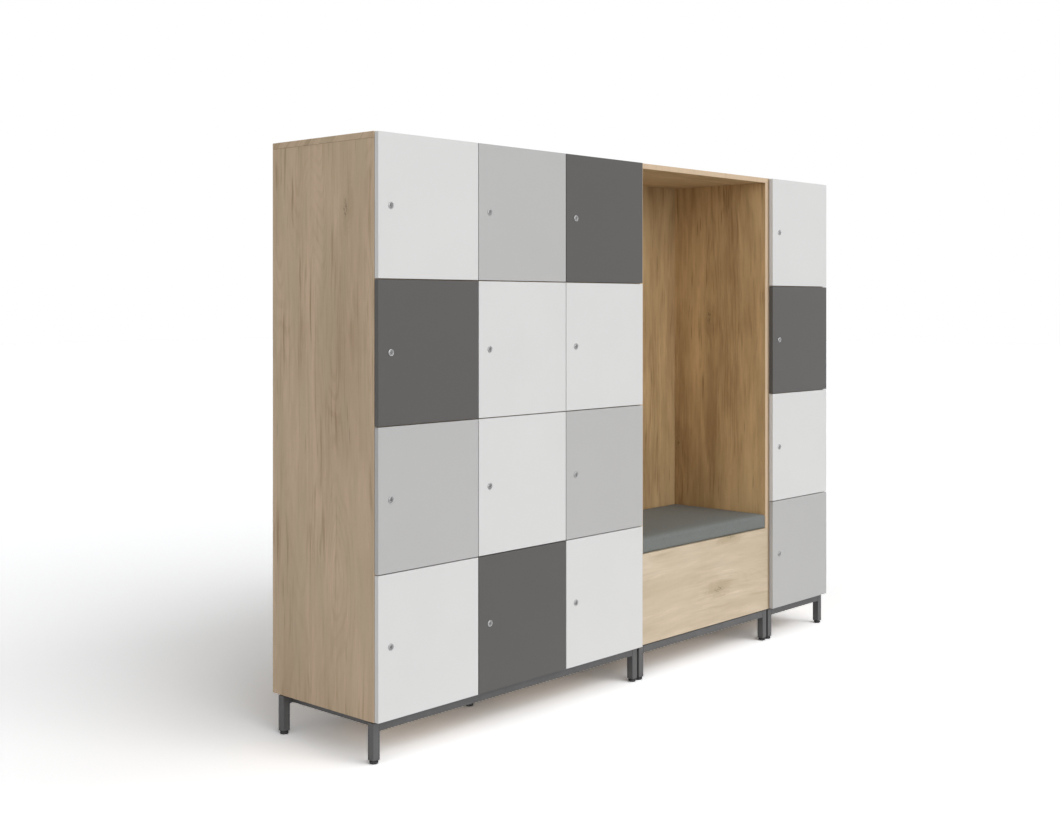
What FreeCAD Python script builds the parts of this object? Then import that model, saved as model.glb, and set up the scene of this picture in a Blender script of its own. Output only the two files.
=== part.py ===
# A row of lockers with a bench between them, on square steel base frames.
# Left cabinet: three columns of lockers. Middle: an open alcove with a padded seat.
# Right cabinet: one column of lockers.
# Millimetres. X runs along the front, the doors face -Y, Z is up from the floor.
# The origin is on the floor, under the middle of the whole row, lock faces included.
import FreeCAD, Part
import math
import os

Vector = FreeCAD.Vector

# The row
column_pitch = 400.0
row_pitch = 415.0
row_count = 4
left_columns = 3
right_columns = 1
bench_width = 800.0
module_gap = 5.0
row_depth = 480.0
base_height = 120.0

# Boards
board = 18.0
back_board = 10.0
back_setback = 20.0
bench_front_height = 312.5

# Doors
door_thickness = 16.0
door_to_carcass = 2.0
door_gap = 3.0
door_edge_radius = 1.0

# Concealed hinges: a cup in the door, an arm on the cabinet
hinge_from_door_end = 82.0
cup_radius = 17.5
cup_to_door_edge = 5.0
cup_skin = 4.0
cup_wall = 1.5
cup_fit = 0.1
flange_height = 56.0
flange_width = 30.0
flange_thickness = 1.2
arm_plate_thickness = 2.5
arm_plate_height = 44.0
arm_plate_length = 30.0
arm_plate_setback = 18.0
arm_height = 16.0
arm_depth = 9.0
arm_length = 54.0
arm_clearance = 1.5
knuckle_length = 11.0
nose_width = 9.0
nose_height = 10.0
nose_to_cup_floor = 3.0

# Cam locks
lock_setback = 47.0
lock_proud = 2.0
rose_radius = 10.0
barrel_radius = 9.0
barrel_fit = 0.1
nut_radius = 13.0
nut_clearance = 0.7
plug_radius = 6.5
plug_fit = 0.05
plug_recess = 0.3
key_slot_width = 1.4
key_slot_height = 7.6
key_slot_depth = 5.0
cam_clearance = 0.6
cam_thickness = 2.5
cam_width = 14.0
cam_tip_clearance = 4.5
cam_screw_radius = 4.0
cam_screw_height = 3.0
strike_clearance = 0.5
strike_height = 34.0
strike_reach = 12.0
strike_on_edge = 6.0

# Base frames of square tube
tube = 25.0
tube_wall = 2.0
tube_corner_radius = 1.5
leg_inset = 3.0
frame_front_setback = 5.0
frame_rear_setback = 24.0
cross_rail_inset = 40.0
spacer_height = 4.0
spacer_radius = 10.0

# Levelling feet
foot_height = 10.0
foot_radius = 13.0
foot_edge_radius = 2.5
insert_flange = 1.5
insert_height = 20.0
insert_fit = 0.2
stem_radius = 4.0
stem_height = 34.0
stem_fit = 0.1

# Fasteners
bolt_radius = 3.0
bolt_head_radius = 6.5
bolt_head_height = 3.5
bolt_grip = 12.0
bolt_from_rail = 25.0
screw_fit = 0.1
link_radius = 2.5
link_head_radius = 6.0
link_head_height = 2.2
link_setback = 75.0
link_grip = 12.0
link_washer_radius = 11.0

# Seat cushion
cushion_height = 58.0
cushion_setback = 4.0
cushion_end_gap = 1.0
cushion_rest_gap = 0.3
cushion_edge_radius = 15.0
cushion_seam_radius = 4.0
cushion_crown = 4.0
cushion_draw_in = 2.0
cushion_bulge = 2.0
cushion_end_steps = 4
cushion_middle_steps = 4

# Places worked out from the sizes above
row_width = (left_columns + right_columns) * column_pitch + bench_width + 2 * module_gap
x_left = -row_width / 2
x_left_end = x_left + left_columns * column_pitch
x_bench = x_left_end + module_gap
x_bench_end = x_bench + bench_width
x_right = x_bench_end + module_gap
x_right_end = x_right + right_columns * column_pitch

y_face = (lock_proud - row_depth) / 2
y_door_back = y_face + door_thickness
y_carcass = y_door_back + door_to_carcass
y_rear = y_face + row_depth
y_back_panel = y_rear - back_setback - back_board

z_top = base_height + row_count * row_pitch
z_seat = base_height + bench_front_height
z_tube_top = base_height - spacer_height
z_rail = z_tube_top - tube
z_tube_bottom = foot_height + insert_flange

y_front_rail = y_carcass + frame_front_setback
y_rear_rail = y_rear - frame_rear_setback - tube

cup_depth = door_thickness - cup_skin
nose_setback = cup_to_door_edge + cup_radius
strike_thickness = door_to_carcass - strike_clearance
y_cam = y_carcass + cam_clearance
cam_reach = lock_setback + door_gap / 2 - board - cam_tip_clearance


def box(x0, x1, y0, y1, z0, z1):
    return Part.makeBox(x1 - x0, y1 - y0, z1 - z0, Vector(x0, y0, z0))


def post(radius, x, y, z0, z1):
    return Part.makeCylinder(radius, z1 - z0, Vector(x, y, z0), Vector(0, 0, 1))


def pin_y(radius, x, z, y0, y1):
    return Part.makeCylinder(radius, y1 - y0, Vector(x, y0, z), Vector(0, 1, 0))


def pin_x(radius, y, z, x0, x1):
    return Part.makeCylinder(radius, x1 - x0, Vector(x0, y, z), Vector(1, 0, 0))


def save(name, solids):
    shape = solids[0] if len(solids) == 1 else Part.makeCompound(solids)
    shape.exportStep("parts/" + name + ".step")


# Fasteners that hold the modules to each other and to the frames


def link_places():
    # front and rear screws at the middle of the lowest and the highest lockers
    lowest = base_height + row_pitch / 2
    highest = z_top - row_pitch / 2
    front, rear = y_carcass + link_setback, y_back_panel - link_setback
    return [(y, z) for y in (front, rear) for z in (lowest, highest)]


def frame_bolt_places(x0, x1, middle_rail):
    rails = [x0 + cross_rail_inset + tube / 2, x1 - cross_rail_inset - tube / 2]
    if middle_rail:
        rails.append((x0 + x1) / 2)
    levels = (y_front_rail + tube + bolt_from_rail, y_rear_rail - bolt_from_rail)
    return [(x, y) for x in rails for y in levels]


def drill_links(side):
    # the side boards at the seams, drilled for the screws that join the modules
    for y, z in link_places():
        side = side.cut(pin_x(link_radius + screw_fit, y, z, x_left_end - board, x_bench + link_grip))
        side = side.cut(pin_x(link_radius + screw_fit, y, z, x_bench_end - link_grip, x_right + board))
    return side


def drill_bottom(bottom, x0, x1, middle_rail):
    for x, y in frame_bolt_places(x0, x1, middle_rail):
        bottom = bottom.cut(post(bolt_radius + screw_fit, x, y, base_height, base_height + bolt_grip))
    return bottom


def linking_fasteners():
    # screws driven from inside the lockers into the bench sides, with a washer that fills the seam
    solids = []
    for y, z in link_places():
        inner = x_left_end - board
        head = pin_x(link_head_radius, y, z, inner - link_head_height, inner)
        solids.append(head.fuse(pin_x(link_radius, y, z, inner, x_bench + link_grip)))
        inner = x_right + board
        head = pin_x(link_head_radius, y, z, inner, inner + link_head_height)
        solids.append(head.fuse(pin_x(link_radius, y, z, x_bench_end - link_grip, inner)))
        for x0, x1 in ((x_left_end, x_bench), (x_bench_end, x_right)):
            washer = pin_x(link_washer_radius, y, z, x0, x1)
            solids.append(washer.cut(pin_x(link_radius + screw_fit, y, z, x0, x1)))
    return solids


def frame_bolts():
    solids = []
    for x0, x1, middle_rail in module_spans():
        for x, y in frame_bolt_places(x0, x1, middle_rail):
            head = post(bolt_head_radius, x, y, z_rail - bolt_head_height, z_rail)
            solids.append(head.fuse(post(bolt_radius, x, y, z_rail, base_height + bolt_grip)))
    return solids


def frame_spacers():
    solids = []
    for x0, x1, middle_rail in module_spans():
        for x, y in frame_bolt_places(x0, x1, middle_rail):
            pad = post(spacer_radius, x, y, z_tube_top, base_height)
            solids.append(pad.cut(post(bolt_radius + screw_fit, x, y, z_tube_top, base_height)))
    return solids


# Cabinets


def module_spans():
    return [(x_left, x_left_end, True), (x_bench, x_bench_end, False), (x_right, x_right_end, False)]


def side_boards(x0, x1):
    sides = [box(x, x + board, y_carcass, y_rear, base_height, z_top - board) for x in (x0, x1 - board)]
    return [drill_links(side) for side in sides]


def top_board(x0, x1):
    return box(x0, x1, y_carcass, y_rear, z_top - board, z_top)


def bottom_board(x0, x1, middle_rail, front):
    bottom = box(x0 + board, x1 - board, front, y_back_panel, base_height, base_height + board)
    return drill_bottom(bottom, x0, x1, middle_rail)


def back_panel(x0, x1):
    return box(x0 + board, x1 - board, y_back_panel, y_back_panel + back_board, base_height, z_top - board)


def bay_walls(x0, column, columns):
    # left and right inner faces of one column of lockers
    left = x0 + column * column_pitch + (board if column == 0 else board / 2)
    right = x0 + (column + 1) * column_pitch - (board if column == columns - 1 else board / 2)
    return left, right


def partitions(x0, columns):
    middles = [x0 + column * column_pitch for column in range(1, columns)]
    low, high = base_height + board, z_top - board
    return [box(x - board / 2, x + board / 2, y_carcass, y_back_panel, low, high) for x in middles]


def shelves(x0, columns):
    solids = []
    for column in range(columns):
        left, right = bay_walls(x0, column, columns)
        for row in range(1, row_count):
            z = base_height + row * row_pitch
            solids.append(box(left, right, y_carcass, y_back_panel, z - board / 2, z + board / 2))
    return solids


def cabinet(name, x0, columns, middle_rail):
    x1 = x0 + columns * column_pitch
    save(name + "_sides", side_boards(x0, x1))
    save(name + "_top", [top_board(x0, x1)])
    save(name + "_bottom", [bottom_board(x0, x1, middle_rail, y_carcass)])
    save(name + "_back", [back_panel(x0, x1)])
    save(name + "_shelves", shelves(x0, columns))
    if columns > 1:
        save(name + "_partitions", partitions(x0, columns))


# Bench


def bench():
    x0, x1 = x_bench, x_bench_end
    inner_left, inner_right = x0 + board, x1 - board
    behind_front = y_carcass + board
    notch = box(x0, x1, y_carcass, behind_front, base_height, z_seat)
    middle = (x0 + x1) / 2
    save("bench_sides", [side.cut(notch) for side in side_boards(x0, x1)])
    save("bench_top", [top_board(x0, x1)])
    save("bench_back", [back_panel(x0, x1)])
    save("bench_bottom", [bottom_board(x0, x1, False, behind_front)])
    save("bench_front", [box(x0, x1, y_carcass, behind_front, base_height, z_seat)])
    save("seat_board", [box(inner_left, inner_right, behind_front, y_back_panel, z_seat - board, z_seat)])
    rib_left, rib_right = middle - board / 2, middle + board / 2
    low, high = base_height + board, z_seat - board
    save("seat_support", [box(rib_left, rib_right, behind_front, y_back_panel, low, high)])
    save("seat_cushion", [seat_cushion(inner_left, inner_right)])


def arc(a, b, c):
    return Part.Arc(a, b, c).toShape()


def cushion_section(x, inset, crown, draw_in):
    # one closed outline across the seat: flat under, bulged front and back, crowned top, rounded corners
    y0 = y_carcass + cushion_setback + inset + draw_in
    y1 = y_back_panel - cushion_end_gap - inset - draw_in
    z0 = z_seat + cushion_rest_gap + inset
    z1 = z_seat + cushion_rest_gap + cushion_height - cushion_crown - inset
    r = max(cushion_edge_radius - inset, cushion_seam_radius)
    s = min(cushion_seam_radius, r)
    corner = 1 - math.cos(math.radians(45))
    bulge = cushion_bulge * (1 - inset / cushion_edge_radius / 2)
    front, back = y0 + bulge, y1 - bulge
    middle_y, middle_z = (y0 + y1) / 2, (z0 + s + z1 - r) / 2
    points = [Vector(x, front + s, z0), Vector(x, back - s, z0)]
    points += [Vector(x, back, z0 + s), Vector(x, back, z1 - r)]
    points += [Vector(x, back - r, z1), Vector(x, front + r, z1)]
    points += [Vector(x, front, z1 - r), Vector(x, front, z0 + s)]
    edges = [
        Part.LineSegment(points[0], points[1]).toShape(),
        arc(points[1], Vector(x, back - s * corner, z0 + s * corner), points[2]),
        arc(points[2], Vector(x, back + bulge, middle_z), points[3]),
        arc(points[3], Vector(x, back - r * corner, z1 - r * corner), points[4]),
        arc(points[4], Vector(x, middle_y, z1 + crown), points[5]),
        arc(points[5], Vector(x, front + r * corner, z1 - r * corner), points[6]),
        arc(points[6], Vector(x, front - bulge, middle_z), points[7]),
        arc(points[7], Vector(x, front + s * corner, z0 + s * corner), points[0]),
    ]
    return Part.Wire(edges)


def seat_cushion(left, right):
    # outlines from end to end: they shrink round the ends, rise to the crown and draw in between the corners
    x0, x1 = left + cushion_end_gap, right - cushion_end_gap
    stations = []
    for step in range(cushion_end_steps + 1):
        turn = math.radians(90 * step / cushion_end_steps)
        along = cushion_edge_radius * (1 - math.cos(turn))
        stations.append((along, cushion_edge_radius * (1 - math.sin(turn))))
    half = (x1 - x0) / 2
    for step in range(1, cushion_middle_steps + 1):
        reach = half - cushion_edge_radius
        stations.append((cushion_edge_radius + reach * step / cushion_middle_steps, 0))
    rise = [math.sin(math.radians(90) * along / half) for along, inset in stations]
    whole = []
    for (along, inset), share in zip(stations, rise):
        whole.append((x0 + along, inset, cushion_crown * (1 + share) / 2, cushion_draw_in * share))
    for (along, inset), share in list(zip(stations, rise))[-2::-1]:
        whole.append((x1 - along, inset, cushion_crown * (1 + share) / 2, cushion_draw_in * share))
    sections = [cushion_section(*place) for place in whole]
    return Part.makeLoft(sections, True, True)


# Base frames and feet


def is_along(edge, axis):
    start, end = edge.firstVertex().Point, edge.lastVertex().Point
    return (end - start).cross(axis).Length < edge.Length / 2


def square_tube(x0, x1, y0, y1, z0, z1, along):
    # a hollow square tube, its long edges rounded, open at both ends along the given axis
    bar = box(x0, x1, y0, y1, z0, z1)
    long_edges = [edge for edge in bar.Edges if is_along(edge, along)]
    bar = bar.makeFillet(tube_corner_radius, long_edges)
    dx, dy, dz = [0 if part else tube_wall for part in (along.x, along.y, along.z)]
    return bar.cut(box(x0 + dx, x1 - dx, y0 + dy, y1 - dy, z0 + dz, z1 - dz))


def base_frame(x0, x1, middle_rail):
    left, right = x0 + leg_inset, x1 - leg_inset
    along_x, along_y, along_z = Vector(1, 0, 0), Vector(0, 1, 0), Vector(0, 0, 1)
    solids = []
    for y in (y_front_rail, y_rear_rail):
        for x in (left, right - tube):
            solids.append(square_tube(x, x + tube, y, y + tube, z_tube_bottom, z_tube_top, along_z))
        solids.append(square_tube(left + tube, right - tube, y, y + tube, z_rail, z_tube_top, along_x))
    cross = [x0 + cross_rail_inset, x1 - cross_rail_inset - tube]
    if middle_rail:
        cross.append((x0 + x1 - tube) / 2)
    for x in cross:
        rail = square_tube(x, x + tube, y_front_rail + tube, y_rear_rail, z_rail, z_tube_top, along_y)
        for bolt_x, bolt_y in frame_bolt_places(x0, x1, middle_rail):
            rail = rail.cut(post(bolt_radius + screw_fit, bolt_x, bolt_y, z_rail, z_tube_top))
        solids.append(rail)
    if middle_rail:
        x, y = centre_leg(x0, x1)
        half = tube / 2
        solids.append(square_tube(x - half, x + half, y - half, y + half, z_tube_bottom, z_rail, along_z))
    return solids


def centre_leg(x0, x1):
    return (x0 + x1) / 2, (y_front_rail + y_rear_rail + tube) / 2


def leg_places():
    places = []
    for x0, x1, middle_rail in module_spans():
        for x in (x0 + leg_inset + tube / 2, x1 - leg_inset - tube / 2):
            places += [(x, y_front_rail + tube / 2), (x, y_rear_rail + tube / 2)]
        if middle_rail:
            places.append(centre_leg(x0, x1))
    return places


def levelling_feet():
    # for each leg: the round foot, its threaded stem and the insert that closes the tube
    solids = []
    for x, y in leg_places():
        foot = post(foot_radius, x, y, 0, foot_height)
        rim = [e for e in foot.Edges if len(e.Vertexes) == 1 and e.BoundBox.ZMax < foot_height / 2]
        solids.append(foot.makeFillet(foot_edge_radius, rim))
        solids.append(post(stem_radius, x, y, foot_height, foot_height + stem_height))
        half = tube / 2
        flange = box(x - half, x + half, y - half, y + half, foot_height, z_tube_bottom)
        half = tube / 2 - tube_wall - insert_fit
        plug = box(x - half, x + half, y - half, y + half, z_tube_bottom, z_tube_bottom + insert_height)
        bore = post(stem_radius + stem_fit, x, y, foot_height, z_tube_bottom + insert_height)
        solids.append(flange.fuse(plug).removeSplitter().cut(bore))
    return solids


# Doors, hinges and locks


def door_bays():
    # every locker: its name, the left edge of its column, its bottom level and its two inner faces
    bays = []
    columns = [(x_left, i, left_columns) for i in range(left_columns)]
    columns += [(x_right, i, right_columns) for i in range(right_columns)]
    for letter, (x0, column, count) in zip("abcdefgh", columns):
        left, right = bay_walls(x0, column, count)
        for row in range(row_count):
            z = z_top - (row + 1) * row_pitch
            bays.append((letter + str(row + 1), x0 + column * column_pitch, z, left, right))
    return bays


def hinge_levels(z):
    offset = door_gap / 2 + hinge_from_door_end
    return z + offset, z + row_pitch - offset


def lock_place(x, z):
    return x + door_gap / 2 + lock_setback, z + row_pitch / 2


def hinge_cup(x, z):
    # a round cup sunk in the back of the door, with a screw flange on the surface
    floor = y_door_back - cup_depth
    cup = pin_y(cup_radius - cup_fit, x, z, floor, y_door_back)
    flange_top = y_door_back + flange_thickness
    half_width, half_height = flange_width / 2, flange_height / 2
    flange = box(x - half_width, x + half_width, y_door_back, flange_top, z - half_height, z + half_height)
    well = pin_y(cup_radius - cup_fit - cup_wall, x, z, floor + cup_wall, flange_top)
    return cup.fuse(flange).cut(well)


def door_panel(x, z):
    x0, x1 = x + door_gap / 2, x + column_pitch - door_gap / 2
    z0, z1 = z + door_gap / 2, z + row_pitch - door_gap / 2
    panel = box(x0, x1, y_face, y_door_back, z0, z1)
    front_edges = [e for e in panel.Edges if e.BoundBox.YMax < y_face + door_thickness / 2]
    panel = panel.makeFillet(door_edge_radius, front_edges)
    cup_x = x1 - nose_setback
    for level in hinge_levels(z):
        panel = panel.cut(pin_y(cup_radius, cup_x, level, y_door_back - cup_depth, y_door_back))
    lock_x, lock_z = lock_place(x, z)
    return panel.cut(pin_y(barrel_radius + barrel_fit, lock_x, lock_z, y_face, y_door_back))


def lock_housing(x, z):
    # the round rose on the face and the barrel through the door
    back = y_carcass + cam_clearance / 2
    rose = pin_y(rose_radius, x, z, y_face - lock_proud, y_face)
    barrel = pin_y(barrel_radius, x, z, y_face, back)
    bore = pin_y(plug_radius + plug_fit, x, z, y_face - lock_proud, back)
    return rose.fuse(barrel).cut(bore)


def lock_nut(x, z):
    # the round nut that clamps the barrel to the back of the door
    top = y_carcass - nut_clearance / 2
    hole = pin_y(barrel_radius + barrel_fit, x, z, y_door_back, top)
    return pin_y(nut_radius, x, z, y_door_back, top).cut(hole)


def door(name, x, z):
    cup_x = x + column_pitch - door_gap / 2 - nose_setback
    lock_x, lock_z = lock_place(x, z)
    solids = [door_panel(x, z)]
    solids += [hinge_cup(cup_x, level) for level in hinge_levels(z)]
    solids += [lock_housing(lock_x, lock_z), lock_nut(lock_x, lock_z)]
    save("door_" + name, solids)


def lock(name, x, z):
    # the turning plug with its key slot, the cam behind it and the screw that holds the cam
    x, z = lock_place(x, z)
    front = y_face - lock_proud + plug_recess
    plug = pin_y(plug_radius, x, z, front, y_cam)
    half, half_height = key_slot_width / 2, key_slot_height / 2
    slot = box(x - half, x + half, front, front + key_slot_depth, z - half_height, z + half_height)
    back = y_cam + cam_thickness
    half = cam_width / 2
    tongue = box(x - half, x + half, y_cam, back, z - cam_reach, z)
    cam = pin_y(half, x, z, y_cam, back).fuse(tongue).removeSplitter()
    screw = pin_y(cam_screw_radius, x, z, back, back + cam_screw_height)
    save("lock_" + name, [plug.cut(slot), cam, screw])


def strike_plate(x, z, left):
    # a flat plate on the front edge of the board beside the lock, with a tongue that the cam turns behind
    # its reach is taken from the column's edge, as the lock's place is, so it is longer on a partition
    tip = x + board + strike_reach
    front = y_carcass - strike_thickness
    level = z + row_pitch / 2
    half = strike_height / 2
    return box(left - strike_on_edge, tip, front, y_carcass, level - half, level + half)


def hinge_arm(x, level, wall):
    # plate on the cabinet wall, arm along it, and a nose that reaches forward into the cup
    cup_x = x + column_pitch - door_gap / 2 - nose_setback
    front = y_carcass + arm_clearance
    start = y_carcass + arm_plate_setback
    face = wall - arm_plate_thickness
    half = arm_plate_height / 2
    plate = box(face, wall, start, start + arm_plate_length, level - half, level + half)
    half = arm_height / 2
    arm = box(face - arm_depth, face, front, front + arm_length, level - half, level + half)
    nose_left, nose_right = cup_x - nose_width / 2, cup_x + nose_width / 2
    knuckle_left, knuckle_right = min(nose_left, face - arm_depth), max(nose_right, face)
    knuckle_end = front + knuckle_length
    knuckle = box(knuckle_left, knuckle_right, front, knuckle_end, level - half, level + half)
    tip = y_door_back - cup_depth + cup_wall + nose_to_cup_floor
    half = nose_height / 2
    nose = box(nose_left, nose_right, tip, front, level - half, level + half)
    return plate.fuse([arm, knuckle, nose]).removeSplitter()


# Write every node

os.makedirs("parts", exist_ok=True)

cabinet("left_cabinet", x_left, left_columns, True)
cabinet("right_cabinet", x_right, right_columns, False)
bench()

save("left_base_frame", base_frame(x_left, x_left_end, True))
save("bench_base_frame", base_frame(x_bench, x_bench_end, False))
save("right_base_frame", base_frame(x_right, x_right_end, False))
save("levelling_feet", levelling_feet())
save("frame_spacers", frame_spacers())
save("frame_bolts", frame_bolts())
save("linking_fasteners", linking_fasteners())

strikes, arms = [], []
for name, x, z, left, right in door_bays():
    door(name, x, z)
    lock(name, x, z)
    strikes.append(strike_plate(x, z, left))
    arms += [hinge_arm(x, level, right) for level in hinge_levels(z)]
save("strike_plates", strikes)
save("hinge_arms", arms)
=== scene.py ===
import bmesh
import bpy
from math import atan2, copysign, cos, exp, hypot, pi, radians, sin
from mathutils import Matrix, Vector


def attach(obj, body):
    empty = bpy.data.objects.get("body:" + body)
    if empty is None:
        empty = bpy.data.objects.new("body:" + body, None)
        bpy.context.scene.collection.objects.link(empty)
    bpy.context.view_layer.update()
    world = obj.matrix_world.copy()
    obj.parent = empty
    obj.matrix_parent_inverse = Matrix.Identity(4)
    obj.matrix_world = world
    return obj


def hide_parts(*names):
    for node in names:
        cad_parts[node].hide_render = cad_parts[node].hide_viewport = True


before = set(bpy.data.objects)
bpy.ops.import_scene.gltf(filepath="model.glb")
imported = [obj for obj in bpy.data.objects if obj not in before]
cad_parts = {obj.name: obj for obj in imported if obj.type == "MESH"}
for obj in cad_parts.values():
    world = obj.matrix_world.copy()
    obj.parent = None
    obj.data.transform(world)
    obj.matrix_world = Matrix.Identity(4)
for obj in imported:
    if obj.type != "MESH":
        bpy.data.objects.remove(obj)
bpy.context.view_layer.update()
scene = bpy.context.scene
print("frame loaded")

# Places on the row, in metres, the same as in the part's source. Each unit has a name, a left and a right end and
# a number of locker columns.
units = (("left", -1.205, -0.005, 3), ("bench", 0.0, 0.8, 0), ("right", 0.805, 1.205, 1))
row = {
    "face": -0.239, "carcass": -0.221, "backPanel": 0.211, "rear": 0.241, "base": 0.12, "seat": 0.4325,
    "top": 1.78, "column": 0.4, "level": 0.415, "board": 0.018, "backBoard": 0.01, "gap": 0.003,
}


# Finishes. A Signal is a socket that can be added, multiplied and so on in plain Python.

def operation(name, swapped=False):
    # a method that joins two values, or changes one, in a maths node
    def combine(self, other=None):
        first, second = (other, self) if swapped else (self, other)
        return self.finish.node("ShaderNodeMath", {"operation": name}, {0: first, 1: second})
    return combine


class Signal:
    def __init__(self, finish, socket):
        self.finish, self.socket = finish, socket

    __add__ = __radd__ = operation("ADD")
    __mul__ = __rmul__ = operation("MULTIPLY")
    __sub__, __rsub__ = operation("SUBTRACT"), operation("SUBTRACT", True)
    __truediv__, larger = operation("DIVIDE"), operation("MAXIMUM")
    size, wave = operation("ABSOLUTE"), operation("SINE")

    # 0 below the first value, 1 above the second, soft between
    def between(self, low, high):
        return self.finish.node("ShaderNodeMapRange", {"interpolation_type": "SMOOTHSTEP"},
                                {"Value": self, "From Min": low, "From Max": high})


class Finish:
    def __init__(self, name, tree=None):
        if tree is None:
            self.material = bpy.data.materials.new(name)
            self.material.use_nodes = True
            tree = self.material.node_tree
            self.shader = tree.nodes["Principled BSDF"]
        self.tree = tree

    def feed(self, socket, value):
        if isinstance(value, Signal):
            self.tree.links.new(value.socket, socket)
        elif value is not None:
            socket.default_value = value

    def node(self, kind, settings=None, sockets=None, out=0):
        made = self.tree.nodes.new(kind)
        for key, value in (settings or {}).items():
            setattr(made, key, value)
        for key, value in (sockets or {}).items():
            self.feed(made.inputs[key], value)
        return Signal(self, made.outputs[out])

    def place(self, which="Object"):
        return self.node("ShaderNodeTexCoord", out=which)

    def parts(self, kind, whole):
        return [Signal(self, part) for part in self.node(kind, sockets={0: whole}).socket.node.outputs]

    def axes(self, which="Object"):
        return self.parts("ShaderNodeSeparateXYZ", self.place(which))

    def vector(self, x, y, z):
        return self.node("ShaderNodeCombineXYZ", sockets={0: x, 1: y, 2: z})

    def noise(self, place, scale, detail, roughness=0.5):
        return self.node("ShaderNodeTexNoise", sockets={
            "Vector": place, "Scale": scale, "Detail": detail, "Roughness": roughness})

    # unevenly spread cells: how far the middle of the nearest one is, and three throws of the dice for it
    def cells(self, place):
        made = self.node("ShaderNodeTexVoronoi", {"voronoi_dimensions": "2D"}, {
            "Vector": place, "Scale": 1.0, "Randomness": 1.0})
        colour = Signal(self, made.socket.node.outputs["Color"])
        return made, self.parts("ShaderNodeSeparateColor", colour)

    def mix(self, share, first, second):
        return self.node("ShaderNodeMix", {"data_type": "RGBA"}, {0: share, 6: first, 7: second}, out=2)

    # a colour between two shades of itself, with more of its shades laid over that by their shares
    def layered(self, base, share, low, high, *layers):
        colour = self.mix(share, shade(base, low), shade(base, high))
        for share, factor in layers:
            colour = self.mix(share, colour, shade(base, factor))
        return colour

    def bump(self, height, distance, strength):
        return self.node("ShaderNodeBump", sockets={"Height": height, "Distance": distance, "Strength": strength})

    def set(self, **values):
        for key, value in values.items():
            self.feed(self.shader.inputs[key.replace("_", " ")], value)
        return self.material


def shade(colour, factor):
    return tuple(min(1.0, part * factor) for part in colour[:3]) + (1,)


def melamine(name, look):
    # plain decor paper under a pearl-textured skin
    finish = Finish(name)
    place = finish.place()
    cloud, pearl = finish.noise(place, 5, 3), finish.noise(place, 900, 2, 0.6)
    smear = finish.noise(place, 14, 4, 0.6)
    colour = finish.layered(look["colour"], cloud.between(0.3, 0.7), 0.993, 1.007, (pearl * look["fleck"], 0.8))
    return finish.set(Base_Color=colour, Roughness=look["roughness"] - 0.04 + smear * 0.08,
                      Specular_IOR_Level=0.3, Normal=finish.bump(pearl, 0.00003, 0.35))


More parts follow.
